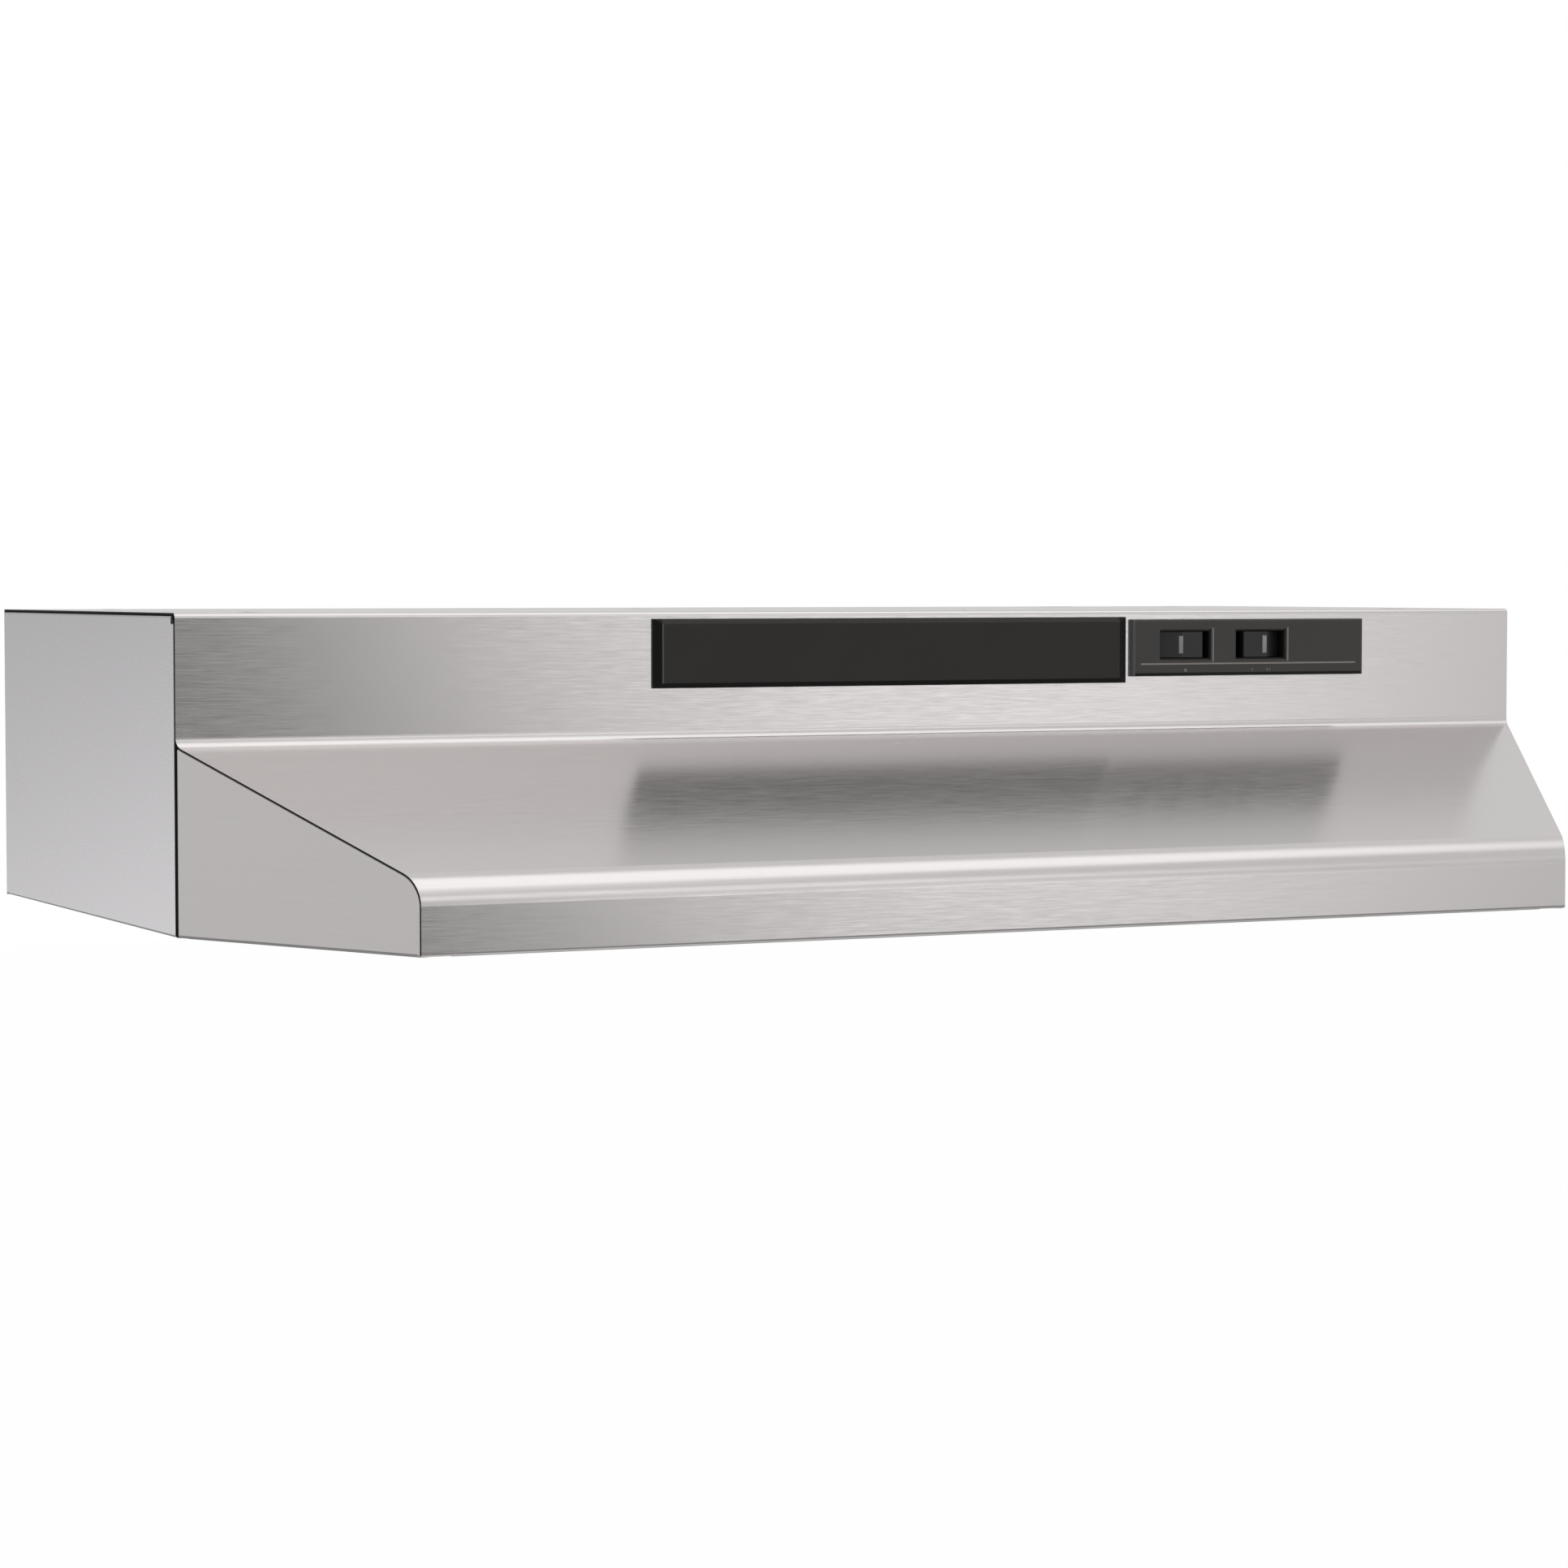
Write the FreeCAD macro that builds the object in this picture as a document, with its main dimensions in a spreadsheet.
import FreeCAD, Part
import math
import os
from types import SimpleNamespace

import Sketcher
from FreeCAD import Placement, Rotation, Vector

# Under cabinet range hood, millimetres.
# X runs to the right seen from the front, +Y runs back to the wall, +Z is up.
# The origin is the centre of the four-screw cabinet pattern, on the top face.

SIZES = {
    # folded shell
    "hood_width": 758.8, "hood_height": 152.4, "top_depth": 301.0, "visor_reach": 143.5,
    "lip_width": 624.0, "fascia_height": 62.3, "lip_height": 33.4, "sheet": 0.8,
    "hem": 12.7, "top_bend": 2.5, "crease_bend": 5.5, "lip_bend": 15.5, "hem_bend": 1.8,
    "edge_bend": 1.6, "corner_notch": 2.5, "cheek_gap": 0.9, "cheek_corner": 17.0,
    # cabinet screws, knock-outs and cable entry
    "screw_span_x": 660.0, "screw_span_y": 230.0, "keyhole_radius": 5.5, "keyhole_slot": 5.6,
    "keyhole_length": 16.0, "score_depth": 0.3, "score_width": 1.0, "round_duct_radius": 89.0,
    "cable_hole_radius": 11.1, "cable_hole_x": 240.0, "cable_hole_y": 105.0,
    # duct collar and damper
    "duct_width": 254.0, "duct_height": 82.6, "duct_top": 6.0, "collar_length": 28.0,
    "collar_flange": 12.0, "damper_pin_radius": 1.2, "damper_y": 164.0, "damper_drop": 4.5,
    # blower housing, fan and motor
    "plenum_width": 272.0, "plenum_front": 140.0, "plenum_depth": 90.0, "ring_radius": 84.2,
    "ring_height": 17.0, "bracket_span": 200.0, "bracket_width": 30.0, "bracket_sheet": 1.6,
    "motor_base": 56.0, "motor_radius": 42.0, "shaft_radius": 4.0, "hub_radius": 14.0,
    "hub_height": 22.0, "blade_reach": 74.0, "blade_chord": 56.0, "blade_pitch": 27.0,
    "blade_sheet": 1.2, "blade_count": 5, "motor_bolt_x": 32.0, "motor_pad": 2.4, "stack_start": 12.0,
    "stack_height": 20.0, "motor_height": 44.0, "winding_height": 7.0,
    # grease filter
    "filter_width": 266.7, "filter_length": 222.3, "filter_height": 9.5, "filter_edge": 9.0,
    "filter_mesh": 2.4, "filter_bottom": 118.0, "filter_pivot_y": 103.0, "filter_tail": 7.0,
    # grille and its cover
    "cover_width": 270.7, "cover_height": 34.3, "cover_top": 3.7, "cover_rim": 1.2,
    "cover_rise": 1.65, "cover_side_bevel": 5.0, "cover_edge_bevel": 2.5, "cover_wall": 1.4,
    "grille_pitch": 8.0, "grille_slot": 4.2, "post_x": 118.0, "post_high": 13.5, "post_low": 28.0,
    # control bezel and rocker switches
    "bezel_left": 138.6, "bezel_width": 143.9, "bezel_top": 5.0, "bezel_height": 29.8,
    "bezel_rise": 3.0, "switch_width": 31.6, "switch_height": 16.0, "switch_top": 10.4,
    "light_switch_x": 170.8, "fan_switch_x": 217.5, "rocker_tilt": 13.0, "rocker_radius": 12.0,
    "rocker_half": 13.0, "rocker_height": 13.4, "rocker_pivot": 8.7, "switch_depth": 24.5,
    # lamp
    "lamp_left": 140.0, "lamp_right": 320.0, "lamp_front": 232.0, "lamp_back": 112.0,
    "lamp_rim": 132.0, "lamp_y": 172.0, "lamp_z": 110.0, "bulb_radius": 23.8, "lens_depth": 12.0,
    "lens_wall": 1.6, "lens_corner": 8.0, "lens_edge": 4.0,
    # wiring
    "box_left": 180.0, "box_width": 120.0, "box_front": 70.0, "box_height": 55.0,
    "lead_diameter": 5.0, "lead_hole": 4.5, "motor_hole_y": -60.0, "motor_hole_z": -33.0,
    "box_hole_x": 215.0, "box_hole_z": -25.0, "lamp_hole": 7.5, "lamp_hole_inset": 23.0,
    "lamp_hole_y": -123.0,
    # clearances and shared fasteners
    "running_gap": 0.06, "lap_gap": 0.1, "small_screw": 1.8,
}
EPS = 1e-3
PLANE_SIGN = {"XY": 1, "YZ": 1, "XZ": -1}

doc = FreeCAD.newDocument("range_hood")
sheet = doc.addObject("Spreadsheet::Sheet", "Dimensions")
for row, (name, number) in enumerate(SIZES.items(), 1):
    sheet.set(f"A{row}", name)
    sheet.set(f"B{row}", str(number))
    sheet.setAlias(f"B{row}", name)
doc.recompute()


class Dim:
    """A size with the spreadsheet formula that gives it."""

    def __init__(self, value, text=None):
        self.value = float(value)
        self.text = text or repr(float(value))

    @staticmethod
    def of(item):
        return item if isinstance(item, Dim) else Dim(item)

    def join(self, other, sign, value):
        return Dim(value, f"({self.text} {sign} {other.text})")

    def __add__(self, other):
        other = Dim.of(other)
        return self.join(other, "+", self.value + other.value)

    def __sub__(self, other):
        other = Dim.of(other)
        return self.join(other, "-", self.value - other.value)

    def __mul__(self, other):
        other = Dim.of(other)
        return self.join(other, "*", self.value * other.value)

    def __truediv__(self, other):
        other = Dim.of(other)
        return self.join(other, "/", self.value / other.value)

    def __neg__(self):
        return Dim(-self.value, f"(-1 * {self.text})")

    def __radd__(self, other):
        return Dim.of(other) + self

    def __rsub__(self, other):
        return Dim.of(other) - self

    def __rmul__(self, other):
        return Dim.of(other) * self


def call(name, item, function):
    """A formula's function of one size, such as sqrt or the sine of an angle in degrees."""
    return Dim(function(item.value), f"{name}({item.text})")


def root(item):
    return call("sqrt", item, math.sqrt)


def angle_of(ratio):
    """The angle, as a plain number of degrees, whose tangent is the ratio."""
    return Dim(math.degrees(math.atan(ratio.value)), f"(atan({ratio.text}) / 1 deg)")


def sine(item):
    return call("sin", item, lambda angle: math.sin(math.radians(angle)))


def cosine(item):
    return call("cos", item, lambda angle: math.cos(math.radians(angle)))


d = SimpleNamespace(**{name: Dim(number, "Dimensions." + name) for name, number in SIZES.items()})

half = d.hood_width / 2
lip_half = d.lip_width / 2
fascia_y = -d.top_depth / 2
back_y = d.top_depth / 2
lip_y = fascia_y - d.visor_reach
bottom_z = -d.hood_height
lip_top_z = bottom_z + d.lip_height
under_top = -d.sheet
wall_y = back_y - d.sheet
slope_drop = d.hood_height - d.lip_height - d.fascia_height
slope_length = root(d.visor_reach * d.visor_reach + slope_drop * slope_drop)
slope_sheet = d.sheet * slope_length / d.visor_reach
plenum_half = d.plenum_width / 2
floor_z = -d.plenum_depth
floor_under = floor_z - d.sheet


def slope_under(y):
    """Height of the visor's underside at a distance from the wall."""
    return -d.fascia_height - slope_sheet - (fascia_y - y) * slope_drop / d.visor_reach


# ---------------------------------------------------------------- drawing helpers

def bind(item, prop, size):
    item.setExpression(prop, Dim.of(size).text)


def move(item, x=0, y=0, z=0, turn=None, axis=(0, 0, 1)):
    """Places an object, turned about an axis through its own origin."""
    x, y, z = Dim.of(x), Dim.of(y), Dim.of(z)
    angle = Dim.of(turn or 0)
    item.Placement = Placement(Vector(x.value, y.value, z.value), Rotation(Vector(*axis), angle.value))
    for letter, place in (("x", x), ("y", y), ("z", z)):
        bind(item, "Placement.Base." + letter, place)
    if turn is not None:
        bind(item, "Placement.Rotation.Angle", angle)


def body(label, **place):
    item = doc.addObject("PartDesign::Body", label)
    item.AllowCompound = True
    move(item, **place)
    return item


def pin_point(sketch, index, end, x, y):
    """Ties one sketch point to the sketch's origin."""
    for letter, place, axis in (("X", x, -2), ("Y", y, -1)):
        if abs(place.value) < EPS:
            sketch.addConstraint(Sketcher.Constraint("PointOnObject", index, end, axis))
        else:
            rule = Sketcher.Constraint("Distance" + letter, -1, 1, index, end, place.value)
            bind(sketch, f"Constraints[{sketch.addConstraint(rule)}]", place)


def draw_loop(sketch, points):
    points = [(Dim.of(x), Dim.of(y)) for x, y in points]
    first = sketch.GeometryCount
    for (x0, y0), (x1, y1) in zip(points, points[1:] + points[:1]):
        sketch.addGeometry(Part.LineSegment(Vector(x0.value, y0.value, 0), Vector(x1.value, y1.value, 0)))
    for step, (x, y) in enumerate(points):
        following = first + (step + 1) % len(points)
        sketch.addConstraint(Sketcher.Constraint("Coincident", first + step, 2, following, 1))
        pin_point(sketch, first + step, 1, x, y)


def draw_circle(sketch, x, y, radius):
    x, y, radius = Dim.of(x), Dim.of(y), Dim.of(radius)
    index = sketch.addGeometry(Part.Circle(Vector(x.value, y.value, 0), Vector(0, 0, 1), radius.value))
    pin_point(sketch, index, 3, x, y)
    rule = Sketcher.Constraint("Radius", index, radius.value)
    bind(sketch, f"Constraints[{sketch.addConstraint(rule)}]", radius)


def sketch_on(item, plane, at, outlines):
    """A sketch on one of the body's own origin planes; a circle is (x, y, radius)."""
    sketch = item.newObject("Sketcher::SketchObject", item.Name + "_sketch")
    support = next(o for o in item.Origin.OriginFeatures if o.Role == plane + "_Plane")
    sketch.AttachmentSupport = [(support, "")]
    sketch.MapMode = "FlatFace"
    bind(sketch, "AttachmentOffset.Base.z", PLANE_SIGN[plane] * Dim.of(at))
    for outline in outlines:
        if isinstance(outline, tuple):
            draw_circle(sketch, *outline)
        else:
            draw_loop(sketch, outline)
    return sketch


def rect(x0, y0, x1, y1):
    return [(x0, y0), (x1, y0), (x1, y1), (x0, y1)]


def ordered(a, b):
    return sorted((Dim.of(a), Dim.of(b)), key=lambda size: size.value)


def pad(item, plane, outlines, start, stop):
    """Adds material between two places on the axis square to the plane."""
    low, high = ordered(start, stop)
    feature = item.newObject("PartDesign::Pad", item.Name + "_pad")
    feature.Profile = sketch_on(item, plane, high if plane == "XZ" else low, outlines)
    bind(feature, "Length", high - low)
    doc.recompute()
    return feature


def pocket(item, plane, outlines, start, stop):
    """Removes material between two places on the axis square to the plane."""
    low, high = ordered(start, stop)
    before = item.Shape.Volume
    feature = item.newObject("PartDesign::Pocket", item.Name + "_pocket")
    feature.Profile = sketch_on(item, plane, low if plane == "XZ" else high, outlines)
    bind(feature, "Length", high - low)
    doc.recompute()
    if item.Shape.Volume > before - EPS:
        raise RuntimeError(item.Label + ": a pocket cuts nothing")
    return feature


def revolve(item, plane, outline, axis_name):
    """Turns an outline about one of its sketch's axes."""
    feature = item.newObject("PartDesign::Revolution", item.Name + "_turned")
    sketch = sketch_on(item, plane, 0, [outline])
    feature.Profile = sketch
    feature.ReferenceAxis = (sketch, [axis_name])
    feature.Angle = 360.0
    doc.recompute()
    return feature


def at(**place):
    """A test for edges or faces that lie wholly at the given places."""
    wanted = {letter: Dim.of(size).value for letter, size in place.items()}

    def test(element):
        box = element.BoundBox
        low = {"x": box.XMin, "y": box.YMin, "z": box.ZMin}
        high = {"x": box.XMax, "y": box.YMax, "z": box.ZMax}
        return all(abs(low[a] - v) < EPS and abs(high[a] - v) < EPS for a, v in wanted.items())

    return test


def fillet(item, radius, *tests):
    base = item.Tip
    picked = [f"Edge{n}" for n, edge in enumerate(base.Shape.Edges, 1) if any(t(edge) for t in tests)]
    if not picked:
        raise RuntimeError(item.Label + ": no edge to round")
    feature = item.newObject("PartDesign::Fillet", item.Name + "_fillet")
    feature.Base = (base, picked)
    bind(feature, "Radius", radius)
    doc.recompute()


def hollow(item, wall, *tests):
    """Turns a block into a shell of one thickness, open at the faces that pass a test."""
    base = item.Tip
    picked = [f"Face{n}" for n, face in enumerate(base.Shape.Faces, 1) if any(t(face) for t in tests)]
    feature = item.newObject("PartDesign::Thickness", item.Name + "_shell")
    feature.Base = (base, picked)
    feature.Reversed = True
    bind(feature, "Value", wall)
    doc.recompute()


def cylinder(label, radius, length, x, y, z, turn=None, axis=(0, 0, 1)):
    item = doc.addObject("Part::Cylinder", label)
    bind(item, "Radius", radius)
    bind(item, "Height", length)
    move(item, x, y, z, turn, axis)
    return item


def group(label, members):
    item = doc.addObject("Part::Compound", label)
    item.Links = members
    doc.recompute()
    return item


FACING = {"up": None, "down": ((1, 0, 0), 180), "front": ((1, 0, 0), 90), "back": ((1, 0, 0), -90),
          "right": ((0, 1, 0), 90), "left": ((0, 1, 0), -90)}


def screws(label, places, facing, head_radius, head_height, shank_radius, shank_length):
    """Pan-head screws: each place is where the head seats, facing is where the head looks."""
    members = []
    for number, (x, y, z) in enumerate(places, 1):
        item = body(f"{label}_{number}", x=x, y=y, z=z)
        if FACING[facing]:
            axis, angle = FACING[facing]
            item.Placement.Rotation = Rotation(Vector(*axis), angle)
        outline = [(0, -shank_length), (shank_radius, -shank_length), (shank_radius, 0),
                   (head_radius, 0), (head_radius, head_height * 0.5),
                   (head_radius * 0.7, head_height), (0, head_height)]
        revolve(item, "XZ", outline, "V_Axis")
        pocket(item, "XY", [rect(-head_radius, -0.5, head_radius, 0.5)], head_height * 0.55, head_height)
        members.append(item)
    return group(label, members)


def lead(label, points):
    """A held lead: straight runs joined by the largest tangent arcs that the runs allow."""
    spots = [Vector(*point) for point in points]
    edges = []
    start = spots[0]
    for before, corner, after in zip(spots, spots[1:], spots[2:]):
        into = (corner - before).normalize()
        out = (after - corner).normalize()
        turn = into.getAngle(out)
        shorter = min((corner - before).Length, (after - corner).Length)
        cut = 0.45 * shorter
        radius = cut / math.tan(turn / 2)
        entry = corner - into * cut
        leave = corner + out * cut
        centre = entry + (out - into * out.dot(into)).normalize() * radius
        middle = centre + (corner - centre).normalize() * radius
        edges.append(Part.LineSegment(start, entry).toShape())
        edges.append(Part.Arc(entry, middle, leave).toShape())
        start = leave
        print(f"{label}: bend radius {radius:.0f} mm")
    edges.append(Part.LineSegment(start, spots[-1]).toShape())
    path = Part.Wire(edges)
    along = (spots[1] - spots[0]).normalize()
    radius = d.lead_diameter.value / 2
    section = Part.Wire(Part.Circle(spots[0], along, radius).toShape())
    item = doc.addObject("Part::Feature", label)
    item.Shape = path.makePipeShell([section], True, True)
    if abs(item.Shape.Volume / (math.pi * radius ** 2 * path.Length) - 1) > 0.01:
        raise RuntimeError(label + ": the tube is not its section times its length")
    return item


# ---------------------------------------------------------------- folded shell

def hood_canopy():
    """Top, fascia, sloped visor and front lip folded from one sheet."""
    item = body("hood_canopy")
    profile = [(back_y, 0), (fascia_y, 0), (fascia_y, -d.fascia_height), (lip_y, lip_top_z),
               (lip_y, bottom_z), (back_y, bottom_z)]
    pad(item, "YZ", [profile], -half, half)
    for radius, y, z in ((d.top_bend, fascia_y, 0), (d.crease_bend, fascia_y, -d.fascia_height),
                         (d.lip_bend, lip_y, lip_top_z), (d.hem_bend, lip_y, bottom_z)):
        fillet(item, radius, at(y=y, z=z))
    hollow(item, d.sheet, at(x=-half), at(x=half), at(y=back_y))
    pocket(item, "XY", [rect(-half, lip_y + d.hem, half, back_y)], bottom_z, bottom_z + d.sheet)
    for side in (-1, 1):
        mitre = [(side * (half + 5), fascia_y), (side * half, fascia_y), (side * lip_half, lip_y),
                 (side * lip_half, lip_y - 5), (side * (half + 5), lip_y - 5)]
        pocket(item, "XY", [mitre], bottom_z, 0)
        relief = rect(side * (lip_half - d.hem * 1.2), lip_y + d.sheet, side * (half + 5), lip_y + d.hem)
        pocket(item, "XY", [relief], bottom_z, bottom_z + d.hem_bend)
    window = rect(-d.cover_width / 2 + 8, -d.cover_top - d.cover_height + 2.5,
                  d.cover_width / 2 - 8, -d.cover_top - 2.5)
    controls = rect(d.bezel_left + 4, -d.bezel_top - d.bezel_height + 3,
                    d.bezel_left + d.bezel_width - 4, -d.bezel_top - 3)
    pocket(item, "XZ", [window, controls], fascia_y, fascia_y + d.sheet)
    for side_x in (-1, 1):
        for side_y in (-1, 1):
            x = side_x * d.screw_span_x / 2
            y = side_y * d.screw_span_y / 2
            slot = rect(x - d.keyhole_slot / 2, y, x + d.keyhole_slot / 2, y + d.keyhole_length)
            pocket(item, "XY", [(x, y, d.keyhole_radius)], under_top, 0)
            pocket(item, "XY", [slot], under_top, 0)
    pocket(item, "XY", [(d.cable_hole_x, d.cable_hole_y, d.cable_hole_radius)], under_top, 0)
    score = d.score_width
    circle_y = -40  # clear of the rectangular knock-out behind it
    pocket(item, "XY", [(0, circle_y, d.round_duct_radius), (0, circle_y, d.round_duct_radius - score)],
           -d.score_depth, 0)
    duct_half = d.duct_width / 2
    near, far = 56, 56 + d.duct_height
    pocket(item, "XY", [rect(-duct_half, near, duct_half, far),
                        rect(-duct_half + score, near + score, duct_half - score, far - score)],
           -d.score_depth, 0)
    return item


def back_panel():
    item = body("back_panel")
    pad(item, "XZ", [rect(-half, bottom_z, half, under_top)], wall_y, back_y)
    inner = half - d.hem - 1
    pad(item, "XY", [rect(-inner, back_y - d.hem, inner, wall_y + 0.2)], bottom_z, bottom_z + d.sheet)
    fillet(item, d.sheet * 0.6, at(y=back_y, z=bottom_z))
    duct_half = d.duct_width / 2 - d.sheet
    top = -d.duct_top - d.sheet
    holes = [(x, z, d.small_screw) for x, z in collar_screw_spots()]
    opening = rect(-duct_half, top - d.duct_height + 2 * d.sheet, duct_half, top)
    pocket(item, "XZ", [opening, *holes], wall_y, back_y)
    return item


def side_panel(name, side):
    """One rear side: a pan whose flanges lie under the top, behind the fascia and along the bottom."""
    item = body("side_panel_" + name)
    front = fascia_y + d.sheet
    pad(item, "YZ", [rect(front, bottom_z, wall_y, under_top)], side * (half - d.hem), side * half)
    fillet(item, d.edge_bend, at(x=side * half, z=under_top), at(x=side * half, y=front),
           at(x=side * half, z=bottom_z))
    hollow(item, d.sheet, at(x=side * (half - d.hem)), at(y=wall_y))
    notch = rect(front, under_top - d.corner_notch, front + d.corner_notch, under_top)
    pocket(item, "YZ", [notch], side * (half - d.hem), side * half)
    return item


def cheek(name, side):
    """The angled front corner piece, drawn in its own plane from the fascia corner forward."""
    run = half - lip_half
    mitre_angle = angle_of(run / d.visor_reach)
    mitre_length = root(run * run + d.visor_reach * d.visor_reach)
    stretch = mitre_length / d.visor_reach
    item = body("cheek_" + name, x=side * half, y=fascia_y, turn=-90 - side * mitre_angle)
    near = d.cheek_gap
    far = (d.visor_reach - d.sheet) * stretch
    outline = [(near, bottom_z), (far, bottom_z), (far, slope_under(lip_y + d.sheet)),
               (near, slope_under(fascia_y - near / stretch))]
    pad(item, "XZ", [outline], 0, -side * d.hem)
    fillet(item, d.cheek_corner, at(x=far, z=slope_under(lip_y + d.sheet)))
    fillet(item, d.edge_bend,
           lambda edge: at(y=0)(edge) and not at(x=near)(edge))
    hollow(item, d.sheet, at(y=-side * d.hem), at(x=near))
    flange_start = 7
    pocket(item, "XY", [rect(near, -side * d.sheet, flange_start, -side * d.hem)],
           bottom_z, -d.fascia_height + 5)
    return item


# ---------------------------------------------------------------- duct collar and damper

def collar_screw_spots():
    x = d.duct_width / 2 + d.collar_flange / 2
    return [(side * x, z) for side in (-1, 1) for z in (-20, -74)]


def duct_collar():
    item = body("duct_collar")
    duct_half = d.duct_width / 2
    top = -d.duct_top
    low = top - d.duct_height
    flange = rect(-duct_half - d.collar_flange, low - 8, duct_half + d.collar_flange, top)
    pad(item, "XZ", [flange], back_y, back_y + d.sheet)
    pad(item, "XZ", [rect(-duct_half, low, duct_half, top)], back_y, back_y + d.collar_length)
    pocket(item, "XZ", [rect(-duct_half + d.sheet, low + d.sheet, duct_half - d.sheet, top - d.sheet)],
           back_y, back_y + d.collar_length)
    pin = (d.damper_y, top - d.damper_drop, d.damper_pin_radius)
    pocket(item, "YZ", [pin], -duct_half, duct_half)
    holes = [(x, z, d.small_screw) for x, z in collar_screw_spots()]
    pocket(item, "XZ", holes, back_y, back_y + d.sheet)
    return item


def damper():
    duct_half = d.duct_width / 2
    pin_z = -d.duct_top - d.damper_drop
    flap = body("damper_flap", y=d.damper_y, z=pin_z)
    reach = d.duct_height - d.damper_drop - 2.5
    flap_half = duct_half - 2
    knuckle = d.damper_pin_radius + 0.9
    pad(flap, "YZ", [(0, 0, knuckle)], -flap_half, flap_half)
    pad(flap, "XZ", [rect(-flap_half, -reach, flap_half, -1)], -0.4, 0.4)
    pad(flap, "XZ", [rect(-flap_half + 10, -reach + 8, flap_half - 10, -reach + 14)], 0.3, 2)
    pocket(flap, "YZ", [(0, 0, d.damper_pin_radius + d.running_gap)], -flap_half, flap_half)
    pin = cylinder("damper_pin", d.damper_pin_radius, d.duct_width + 3, -duct_half - 1.5, d.damper_y,
                   pin_z, 90, (0, 1, 0))
    return [flap, pin]


def collar_screws():
    places = [(x, back_y + d.sheet, z) for x, z in collar_screw_spots()]
    return screws("collar_screws", places, "back", 3.6, 2.0, d.small_screw, 6)


# ---------------------------------------------------------------- blower

def bracket_screw_spots():
    x = d.bracket_span / 2 + 9
    return [(side * x, y) for side in (-1, 1) for y in (-8, 8)]


def blower_housing():
    """Open-topped air box under the top sheet, with the fan orifice in its floor."""
    item = body("blower_housing")
    pad(item, "XY", [rect(-plenum_half, -d.plenum_front, plenum_half, wall_y)], floor_under, under_top)
    fillet(item, d.edge_bend, at(z=floor_under, x=-plenum_half), at(z=floor_under, x=plenum_half),
           at(z=floor_under, y=-d.plenum_front))
    hollow(item, d.sheet, at(z=under_top), at(y=wall_y))
    holes = [(x, y, d.small_screw) for x, y in bracket_screw_spots()]
    pocket(item, "XY", [(0, 0, d.ring_radius + d.sheet), *holes], floor_under, floor_z)
    window = rect(-plenum_half + 8, -40, plenum_half - 8, -5)
    pocket(item, "XZ", [window], -d.plenum_front, -d.plenum_front + d.sheet)
    lead_hole = (d.motor_hole_y, d.motor_hole_z, d.lead_hole)
    pocket(item, "YZ", [lead_hole], plenum_half - d.sheet, plenum_half)
    return item


def venturi_ring():
    item = body("venturi_ring")
    inner = d.ring_radius
    outer = d.ring_radius + d.sheet
    low = floor_under - d.sheet
    outline = [(inner, low), (inner + 12, low), (inner + 12, floor_under), (outer, floor_under),
               (outer, low + d.ring_height), (inner, low + d.ring_height)]
    revolve(item, "XZ", outline, "V_Axis")
    fillet(item, 0.5, lambda edge: at(z=low)(edge) and edge.BoundBox.XMax < inner.value + 5)
    return item


def motor_bracket():
    """Hat-shaped strap that stands on the housing floor and carries the motor over the orifice."""
    item = body("motor_bracket")
    span = d.bracket_span / 2
    strap = d.bracket_sheet
    top = -d.motor_base - d.motor_pad
    foot = 16
    hat = [(-span - foot, floor_z), (-span + strap, floor_z), (-span + strap, top - strap),
           (span - strap, top - strap), (span - strap, floor_z), (span + foot, floor_z),
           (span + foot, floor_z + strap), (span, floor_z + strap), (span, top), (-span, top),
           (-span, floor_z + strap), (-span - foot, floor_z + strap)]
    pad(item, "XZ", [hat], -d.bracket_width / 2, d.bracket_width / 2)
    shaft_hole = (0, 0, 9)
    bolt_holes = [(side * d.motor_bolt_x, 0, 2.3) for side in (-1, 1)]
    pocket(item, "XY", [shaft_hole, *bolt_holes], top - strap, top)
    holes = [(x, y, d.small_screw) for x, y in bracket_screw_spots()]
    pocket(item, "XY", holes, floor_z, floor_z + strap)
    return item


def cup(label, radius, low, high, wall, bore, closed_low):
    """A turned motor end bell: a rim, a disc and a bearing seat."""
    item = body(label)
    disc_low, disc_high = (low, low + wall) if closed_low else (high - wall, high)
    pad(item, "XY", [(0, 0, radius)], low, high)
    fillet(item, 2, at(z=low if closed_low else high))
    hole_low, hole_high = (disc_high, high) if closed_low else (low, disc_low)
    pocket(item, "XY", [(0, 0, radius - wall)], hole_low, hole_high)
    pocket(item, "XY", [(0, 0, bore)], disc_low, disc_high)
    return item


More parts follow.
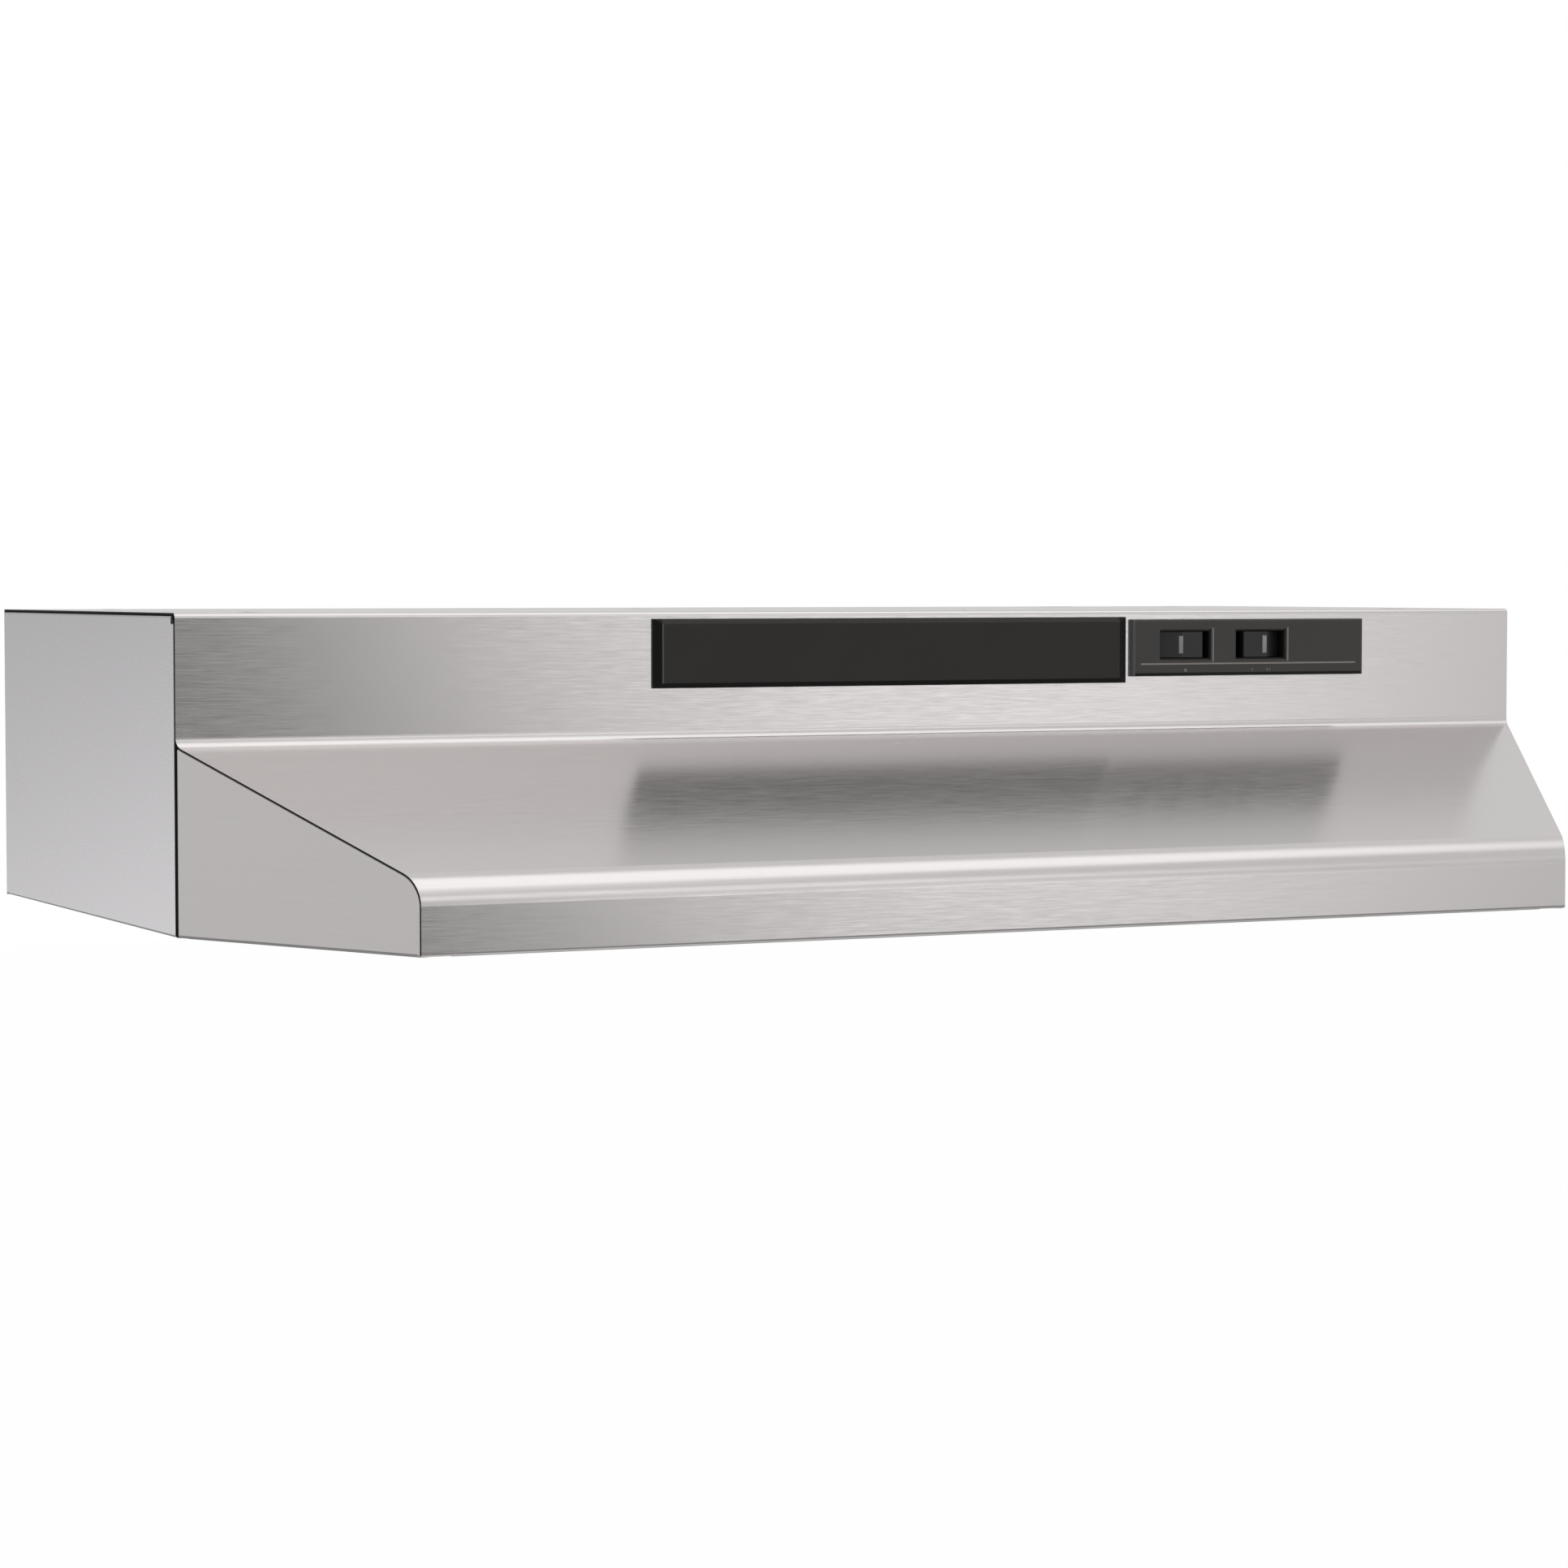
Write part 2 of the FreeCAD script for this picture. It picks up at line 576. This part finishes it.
def motor():
    base = -d.motor_base
    wall = 1.5
    seat = 8.0
    stack_low = base + d.stack_start
    stack_high = stack_low + d.stack_height
    top = base + d.motor_height
    lower = cup("motor_lower_bell", d.motor_radius, base, stack_low, wall, seat, True)
    mount_holes = [(side * d.motor_bolt_x, 0, 2.0) for side in (-1, 1)]
    pocket(lower, "XY", mount_holes, base, base + wall)
    upper = cup("motor_upper_bell", d.motor_radius, stack_high, top, wall, seat, False)
    vent_offset = 18.4
    vents = [(x * vent_offset, y * vent_offset, 4.0) for x in (-1, 1) for y in (-1, 1)]
    pocket(upper, "XY", vents, top - wall, top)
    stator = body("motor_stator")
    pad(stator, "XY", [(0, 0, d.motor_radius), (0, 0, 19.8)], stack_low, stack_high)
    fillet(stator, 0.6, at(z=stack_low), at(z=stack_high))
    coils = body("motor_windings")
    coil_ring = [(0, 0, 36), (0, 0, 22)]
    for near, far in ((stack_high, stack_high + d.winding_height), (stack_low, stack_low - d.winding_height)):
        pad(coils, "XY", coil_ring, near, far)
        fillet(coils, 2.5, at(z=far))
    rotor = body("motor_rotor")
    pad(rotor, "XY", [(0, 0, 19.3), (0, 0, d.shaft_radius)], stack_low - 2, stack_high + 2)
    fillet(rotor, 0.8, at(z=stack_low - 2), at(z=stack_high + 2))
    bearings = body("motor_bearings")
    bearing_height = 6
    for low in (base, top - bearing_height):
        pad(bearings, "XY", [(0, 0, seat), (0, 0, d.shaft_radius + d.lap_gap)], low, low + bearing_height)
    shaft = body("motor_shaft")
    shaft_low = floor_z - 4
    pad(shaft, "XY", [(0, 0, d.shaft_radius)], shaft_low, top - 1)
    fillet(shaft, 0.6, at(z=shaft_low), at(z=top - 1))
    return [lower, upper, stator, coils, rotor, bearings, shaft]


def motor_mounts():
    base = -d.motor_base
    grommets = body("motor_grommets")
    bolt_places = [side * d.motor_bolt_x for side in (-1, 1)]
    for x in bolt_places:
        pad(grommets, "XY", [(x, 0, 6), (x, 0, 2.4)], base - d.motor_pad, base)
    fillet(grommets, 0.6, lambda edge: at(z=base)(edge) and edge.Length > 20)
    strap_under = base - d.motor_pad - d.bracket_sheet
    bolts = screws("motor_bolts", [(x, 0, strap_under) for x in bolt_places], "down", 4.0, 2.4, 2.0, 7)
    feet = [(x, y, floor_z + d.bracket_sheet) for x, y in bracket_screw_spots()]
    return [grommets, bolts, screws("bracket_screws", feet, "up", 3.8, 2.2, d.small_screw, 7)]


def fan():
    low = floor_z - 1
    hub = body("fan_hub")
    pad(hub, "XY", [(0, 0, d.hub_radius)], low, low + d.hub_height)
    fillet(hub, 1.5, at(z=low), at(z=low + d.hub_height))
    pocket(hub, "XY", [(0, 0, d.shaft_radius)], low, low + d.hub_height)
    screw_z = low + d.hub_height - 4
    pocket(hub, "YZ", [(0, screw_z, 2)], 0, d.hub_radius)
    set_screw = cylinder("hub_set_screw", 2, d.hub_radius - d.shaft_radius - 0.5, d.shaft_radius, 0, screw_z,
                         90, (0, 1, 0))
    blades = body("fan_blades")
    middle = low + d.hub_height / 2
    sections = []
    for reach, chord, pitch in ((d.hub_radius + 0.3, d.blade_chord * 0.42, d.blade_pitch * 1.5),
                                (d.blade_reach * 0.6, d.blade_chord * 0.85, d.blade_pitch * 1.15),
                                (d.blade_reach, d.blade_chord, d.blade_pitch)):
        corners = []
        for along, across in ((-1, -1), (1, -1), (1, 1), (-1, 1)):
            u = along * chord / 2
            v = across * d.blade_sheet / 2
            corners.append((u * cosine(pitch) - v * sine(pitch), middle + u * sine(pitch) + v * cosine(pitch)))
        sections.append(sketch_on(blades, "YZ", reach, [corners]))
    blade = blades.newObject("PartDesign::AdditiveLoft", "fan_blade_loft")
    blade.Profile = sections[0]
    blade.Sections = sections[1:]
    doc.recompute()
    fillet(blades, 7, lambda edge: edge.Length < 2 and edge.CenterOfMass.x > SIZES["blade_reach"] - 1)
    ring = pad(blades, "XY", [(0, 0, d.hub_radius + 1.2), (0, 0, d.hub_radius)], middle - 7, middle + 7)
    pattern = blades.newObject("PartDesign::PolarPattern", "fan_blade_pattern")
    pattern.Originals = [blade]
    pattern.Axis = (ring.Profile[0], ["N_Axis"])
    pattern.Angle = 360
    bind(pattern, "Occurrences", d.blade_count)
    blades.Tip = pattern
    doc.recompute()
    return [hub, set_screw, blades]


# ---------------------------------------------------------------- grease filter

def filter_parts():
    """Filter, drawn about its swing axis at the rear edge, and what holds it."""
    side = d.filter_width / 2
    rear = d.filter_tail
    front = rear - d.filter_length
    height = d.filter_height
    edge = d.filter_edge
    place = {"y": d.filter_pivot_y, "z": -d.filter_bottom}
    frame = body("filter_frame", **place)
    pad(frame, "XY", [rect(-side, front, side, rear)], 0, height)
    fillet(frame, 1.2, at(z=0), at(z=height))
    pocket(frame, "XY", [rect(-side + edge, front + edge, side - edge, rear - edge)], 0, height)
    mesh = body("filter_mesh", **place)
    pad(mesh, "XY", [rect(-side + edge, front + edge, side - edge, rear - edge)], 2, 2 + d.filter_mesh)
    tab = body("filter_pull_tab", **place)
    tab_half, tab_drop, tab_y = 16, 15, front + 8
    pad(tab, "XY", [rect(-tab_half, front + 1, tab_half, tab_y)], -d.sheet, 0)
    pad(tab, "XY", [rect(-tab_half, tab_y, tab_half, tab_y + d.sheet)], -tab_drop, 0)
    fillet(tab, 5, at(x=-tab_half, z=-tab_drop), at(x=tab_half, z=-tab_drop))
    channel = body("filter_channel")
    pivot_y = d.filter_pivot_y
    low = -d.filter_bottom
    web = pivot_y + 12.5
    outline = [(pivot_y, low - d.sheet), (web + d.sheet, low - d.sheet), (web + d.sheet, floor_under),
               (pivot_y, floor_under), (pivot_y, floor_under - d.sheet), (web, floor_under - d.sheet),
               (web, low), (pivot_y, low)]
    channel_half = d.plenum_width / 2 - 11
    pad(channel, "YZ", [outline], -channel_half, channel_half)
    clips = body("filter_clips")
    clip_y = pivot_y + front - 0.5
    leaf = 0.6
    outline = [(clip_y - leaf, floor_under), (clip_y - 12, floor_under), (clip_y - 12, floor_under - leaf),
               (clip_y - 2 * leaf, floor_under - leaf), (clip_y - leaf, low + 10), (clip_y - 1.5, low + 4),
               (clip_y - 1.5 + leaf, low + 4), (clip_y, low + 10)]
    half_wide = 10
    for x in (-70, 70):
        pad(clips, "YZ", [outline], x - half_wide, x + half_wide)
    return [frame, mesh, tab, channel, clips]


# ---------------------------------------------------------------- grille and cover

def cover_posts(half_width, half_height):
    """Outlines of the four posts that hold the cover, or of the holes they go through."""
    spots = [(side * d.post_x, -z) for side in (-1, 1) for z in (d.post_high, d.post_low)]
    return [rect(x - half_width, z - half_height, x + half_width, z + half_height) for x, z in spots]


def discharge_grille():
    """Slotted plate behind the fascia opening, for air that returns to the room."""
    item = body("discharge_grille")
    low = -d.cover_top - d.cover_height + 0.5
    high = -d.cover_top - 0.5
    grille_half = d.cover_width / 2 - 2
    front = fascia_y + d.sheet
    pad(item, "XZ", [rect(-grille_half, low, grille_half, high)], front, front + d.sheet)
    slot_half = d.grille_slot / 2
    count = 28
    first = -(count - 1) / 2 * d.grille_pitch
    slot = rect(first - slot_half, low + 6, first + slot_half, high - 6)
    cut = pocket(item, "XZ", [slot], front, front + d.sheet)
    pattern = item.newObject("PartDesign::LinearPattern", "grille_slots")
    pattern.Originals = [cut]
    pattern.Direction = (cut.Profile[0], ["H_Axis"])
    pattern.Occurrences = count
    bind(pattern, "Length", (count - 1) * d.grille_pitch)
    item.Tip = pattern
    doc.recompute()
    pocket(item, "XZ", cover_posts(3.6, 2.1), front, front + d.sheet)
    return item


def grille_cover():
    """Moulded plate with bevelled edges that snaps over the grille."""
    item = body("grille_cover")
    side = d.cover_width / 2
    high = -d.cover_top
    low = high - d.cover_height
    rim_y = fascia_y - d.cover_rim
    face_y = rim_y - d.cover_rise
    pad(item, "XZ", [rect(-side, low, side, high)], rim_y, fascia_y)
    bevel_x, bevel_z = d.cover_side_bevel, d.cover_edge_bevel
    wedge = item.newObject("PartDesign::AdditiveWedge", "cover_bevel")
    sizes = {"Ymin": face_y, "Ymax": rim_y, "Xmin": -side + bevel_x, "Xmax": side - bevel_x,
             "Zmin": low + bevel_z, "Zmax": high - bevel_z, "X2min": -side, "X2max": side,
             "Z2min": low, "Z2max": high}
    for prop, size in sizes.items():
        setattr(wedge, prop, size.value)
        bind(wedge, prop, size)
    doc.recompute()
    fillet(item, 0.5, at(y=face_y))
    wall = d.cover_wall
    pocket(item, "XZ", [rect(-side + bevel_x, low + bevel_z, side - bevel_x, high - bevel_z)],
           face_y + wall, fascia_y)
    pad(item, "XZ", cover_posts(3.0, 1.5), face_y + wall, fascia_y + 6)
    return item


# ---------------------------------------------------------------- controls

def control_bezel():
    item = body("control_bezel")
    left, right = d.bezel_left, d.bezel_left + d.bezel_width
    high = -d.bezel_top
    low = high - d.bezel_height
    face_y = fascia_y - d.bezel_rise
    pad(item, "XZ", [rect(left, low, right, high)], face_y, fascia_y)
    fillet(item, 1.2, at(y=face_y))
    skirt = rect(left + 4.3, low + 3.3, right - 4.3, high - 3.3)
    skirt_depth = 6
    inner = rect(left + 6, low + 5, right - 6, high - 5)
    pad(item, "XZ", [skirt], fascia_y, fascia_y + skirt_depth)
    pocket(item, "XZ", [inner], fascia_y - 0.8, fascia_y + skirt_depth)
    top = -d.switch_top
    for x in (d.light_switch_x, d.fan_switch_x):
        side = d.switch_width / 2
        pocket(item, "XZ", [rect(x - side, top - d.switch_height, x + side, top)], face_y, fascia_y)
    rule_z = low + 6.4
    rule_half = 0.25
    rule = rect(left + 5, rule_z - rule_half, right - 5, rule_z + rule_half)
    pocket(item, "XZ", [rule], face_y, face_y + 0.3)
    return item


def switch_parts(name, x, rest_turn):
    """One rocker switch: an open-fronted case and a rocker on moulded pivots."""
    middle = -d.switch_top - d.switch_height / 2
    face_y = fascia_y - d.bezel_rise
    case = body(name + "_switch_case")
    side = d.switch_width / 2 - d.lap_gap
    rise = d.switch_height / 2 - d.lap_gap
    wall = 0.7
    front = face_y + 0.8
    inner_back = face_y + d.switch_depth
    back = inner_back + 3
    pad(case, "XZ", [rect(x - side, middle - rise, x + side, middle + rise)], front, back)
    inner = rect(x - side + wall, middle - rise + wall, x + side - wall, middle + rise - wall)
    pocket(case, "XZ", [inner], front, inner_back)
    pivot_y = fascia_y + d.rocker_pivot
    trunnion_radius = 1.5
    pocket(case, "XY", [(x, pivot_y, trunnion_radius + d.running_gap)], middle - rise, middle + rise)
    rocker = body(name + "_rocker", x=x, y=pivot_y, z=middle, turn=rest_turn)
    reach = d.rocker_radius
    wing = d.rocker_half
    wing_y = -reach + 3.05
    wing_back = wing_y + 4
    outline = [(0, -reach), (wing, wing_y), (wing - 0.8, wing_back), (3, -1.5), (3, 3),
               (-3, 3), (-3, -1.5), (0.8 - wing, wing_back), (-wing, wing_y)]
    tall = d.rocker_height / 2
    pad(rocker, "XY", [outline], -tall, tall)
    fillet(rocker, 0.7, at(x=0, y=-reach))
    fillet(rocker, 0.5, at(x=wing, y=wing_y), at(x=-wing, y=wing_y))
    trunnion = rise - 0.15
    pad(rocker, "XY", [(0, 0, trunnion_radius)], -trunnion, trunnion)
    return [case, rocker]


def switch_terminals():
    item = body("switch_terminals")
    back = fascia_y - d.bezel_rise + d.switch_depth + 3
    middle = -d.switch_top - d.switch_height / 2
    half_thick, half_tall, length = 0.4, 3.15, 8
    for x, offsets in ((d.light_switch_x, (-6, 6)), (d.fan_switch_x, (-9, 0, 9))):
        for offset in offsets:
            tab_x = x + offset
            blade = rect(tab_x - half_thick, middle - half_tall, tab_x + half_thick, middle + half_tall)
            pad(item, "XZ", [blade], back, back + length)
    return item


# ---------------------------------------------------------------- lamp

lamp_top = slope_under(fascia_y) - d.lap_gap
lamp_hole_x = d.lamp_right - d.lamp_hole_inset


def lamp_reflector():
    item = body("lamp_reflector")
    front, back = -d.lamp_front, -d.lamp_back
    profile = [(front, -d.lamp_rim), (front, slope_under(front) - d.lap_gap), (fascia_y, lamp_top),
               (back, lamp_top), (back, -d.lamp_rim)]
    pad(item, "YZ", [profile], d.lamp_left, d.lamp_right)
    hollow(item, 0.6, at(z=-d.lamp_rim))
    pocket(item, "XY", [(lamp_hole_x, d.lamp_hole_y, d.lamp_hole)], lamp_top - 1, lamp_top)
    return item


def lamp_lens():
    """Translucent pan that swings down on its rear edge, drawn about that edge."""
    item = body("lamp_lens", y=2 - d.lamp_back, z=-d.lamp_rim - 0.3)
    left, right = d.lamp_left - 2, d.lamp_right + 2
    length = d.lamp_front - d.lamp_back + 4
    floor = -d.lens_depth
    wall = d.lens_wall
    outer_x, outer_y = (left, right), (-length, 0)
    inner_x, inner_y = (left + wall, right - wall), (wall - length, -wall)
    pad(item, "XY", [rect(left, -length, right, 0)], floor, 0)
    pocket(item, "XY", [rect(inner_x[0], inner_y[0], inner_x[1], inner_y[1])], floor + wall, 0)
    fillet(item, d.lens_corner - wall, *[at(x=x, y=y) for x in inner_x for y in inner_y])
    fillet(item, d.lens_corner, *[at(x=x, y=y) for x in outer_x for y in outer_y])
    fillet(item, d.lens_edge - wall, at(z=floor + wall))
    fillet(item, d.lens_edge, at(z=floor))
    return item


socket_x = d.lamp_right - 39


def lamp_socket():
    item = body("lamp_socket", x=socket_x, y=-d.lamp_y, z=-d.lamp_z)
    outline = [(0, 13.4), (0, 17), (4, 19), (24, 19), (30, 15), (30, 0), (25, 0), (25, 13.4)]
    revolve(item, "XZ", outline, "H_Axis")
    bracket = body("lamp_socket_bracket")
    left = d.lamp_right - 9
    right = d.lamp_right - 0.6
    low = 2 - d.lamp_rim
    high = low + 40
    strap = 1.2
    half_wide = 18
    outline = [(left, low), (left, high), (right, high), (right, low), (right - strap, low),
               (right - strap, high - strap), (left + strap, high - strap), (left + strap, low)]
    pad(bracket, "XZ", [outline], -d.lamp_y - half_wide, -d.lamp_y + half_wide)
    return [item, bracket]


def lamp_bulb():
    base = body("lamp_bulb_base", x=socket_x, y=-d.lamp_y, z=-d.lamp_z)
    outline = [(-3, 0), (-3, 12.6), (0, 13.1), (18, 13.1), (21, 8), (24.6, 4), (24.6, 0)]
    revolve(base, "XZ", outline, "H_Axis")
    glass = body("lamp_bulb_glass", x=socket_x - 3, y=-d.lamp_y, z=-d.lamp_z)
    radius = d.bulb_radius
    steps = 10
    neck_angle = 50
    centre = -38
    outline = [(0, 0), (0, 12.4), (-10, 13.5)]
    for step in range(steps + 1):
        angle = Dim(neck_angle + (180 - neck_angle) * step / steps)
        outline.append((centre + radius * cosine(angle), radius * sine(angle)))
    revolve(glass, "XZ", outline, "H_Axis")
    return [base, glass]


# ---------------------------------------------------------------- wiring

def wiring_box():
    item = body("wiring_box")
    left, right = d.box_left, d.box_left + d.box_width
    low = -d.box_height
    pad(item, "XY", [rect(left, d.box_front, right, wall_y)], low, under_top)
    hollow(item, d.sheet, at(z=low))
    ground_spot = (285, 90)
    cover_spot = (270, low + 5)
    pocket(item, "XY", [(d.cable_hole_x, d.cable_hole_y, d.cable_hole_radius), (*ground_spot, d.small_screw)],
           under_top - d.sheet, under_top)
    lead_hole = (d.box_hole_x, d.box_hole_z, d.lead_hole)
    pocket(item, "XZ", [lead_hole, (*cover_spot, d.small_screw)], d.box_front, d.box_front + d.sheet)
    cover = body("wiring_box_cover")
    pad(cover, "XY", [rect(left, d.box_front, right, wall_y)], low - d.sheet, low)
    pad(cover, "XY", [rect(left, d.box_front - d.sheet, right, d.box_front)], low - d.sheet, low + 10)
    pocket(cover, "XZ", [(*cover_spot, d.small_screw)], d.box_front - d.sheet, d.box_front)
    screw = screws("wiring_cover_screw", [(cover_spot[0], d.box_front - d.sheet, cover_spot[1])], "front",
                   3.8, 2.2, d.small_screw, 6)
    ground = screws("ground_screw", [(*ground_spot, under_top - d.sheet)], "down", 4.5, 2.6, d.small_screw, 0.7)
    return [item, cover, screw, ground]


def wire_nuts():
    members = []
    for number, (x, y) in enumerate(((206, 95), (222, 122), (254, 90)), 1):
        item = body(f"wire_nut_{number}", x=x, y=y, z=-40)
        revolve(item, "XZ", [(0, 0), (6.5, 0), (6.5, 4), (5.6, 8), (4, 20), (0, 22)], "V_Axis")
        members.append(item)
    return group("wire_nuts", members)


def lead_grommets():
    """Rubber rings where the leads pass through sheet metal."""
    item = body("lead_grommets")
    inside, outside = 2.4, 1.6
    snug = d.lead_diameter / 2 + d.lap_gap
    for plane, spot, face, inward in (
            ("YZ", (d.motor_hole_y, d.motor_hole_z), plenum_half, -1),
            ("XZ", (d.box_hole_x, d.box_hole_z), d.box_front, 1)):
        ring = [(*spot, d.lead_hole - d.lap_gap), (*spot, snug)]
        pad(item, plane, ring, face + inward * inside, face - inward * outside)
    spot = (lamp_hole_x, d.lamp_hole_y)
    loose = 5
    ring = [(*spot, d.lamp_hole - d.lap_gap), (*spot, loose)]
    pad(item, "XY", ring, lamp_top - inside, lamp_top + outside)
    return item


def leads():
    feed = lead("feed_lead", [(215, 86, -25), (215, 48, -25), (221, 4, -29), (213, -40, -27),
                              (217.5, -84, -20), (217.5, -117.7, -18.4)])
    motor_lead = lead("motor_lead", [(208.5, -117.5, -18.4), (206, -92, -21), (186, -68, -29), (150, -60, -33),
                                     (118, -60, -33), (88, -47, -35), (62, -28, -34), (38.2, -17.4, -34)])
    lamp_lead = lead("lamp_lead", [(176.8, -117, -18.4), (178, -97, -25), (194, -85, -40), (226, -80, -45),
                                   (260, -88, -41), (286, -106, -40), (297, -122, -54), (297, -123.5, -80),
                                   (296.5, -133, -103), (296, -152.4, -110)])
    return [feed, motor_lead, lamp_lead]


# ---------------------------------------------------------------- build, check and write

parts = [hood_canopy(), back_panel()]
for side_name, direction in (("left", -1), ("right", 1)):
    parts += [side_panel(side_name, direction), cheek(side_name, direction)]
parts += [duct_collar(), *damper(), collar_screws()]
parts += [blower_housing(), venturi_ring(), motor_bracket(), *motor(), *motor_mounts(), *fan()]
parts += filter_parts()
parts += [discharge_grille(), grille_cover(), control_bezel()]
parts += switch_parts("light", d.light_switch_x, -d.rocker_tilt)
parts += switch_parts("fan", d.fan_switch_x, d.rocker_tilt)
parts += [switch_terminals(), lamp_reflector(), lamp_lens(), *lamp_socket(), *lamp_bulb()]
parts += [*wiring_box(), wire_nuts(), lead_grommets(), *leads()]
doc.recompute()

for item in doc.Objects:
    if "Invalid" in item.State or "Error" in item.State:
        raise RuntimeError(f"{item.Label} did not build: {item.State}")
for item in parts:
    if item.Shape.isNull() or not item.Shape.isValid() or not item.Shape.Solids:
        raise RuntimeError(item.Label + " has no valid solid")

os.makedirs("parts", exist_ok=True)
for item in parts:
    item.Shape.exportStep(f"parts/{item.Label}.step")
    box = item.Shape.BoundBox
    print(f"{item.Label}: {len(item.Shape.Solids)} solid(s), {item.Shape.Volume / 1000:.1f} cm3, "
          f"X {box.XMin:.1f}..{box.XMax:.1f} Y {box.YMin:.1f}..{box.YMax:.1f} Z {box.ZMin:.1f}..{box.ZMax:.1f}")
print(len(parts), "nodes written")
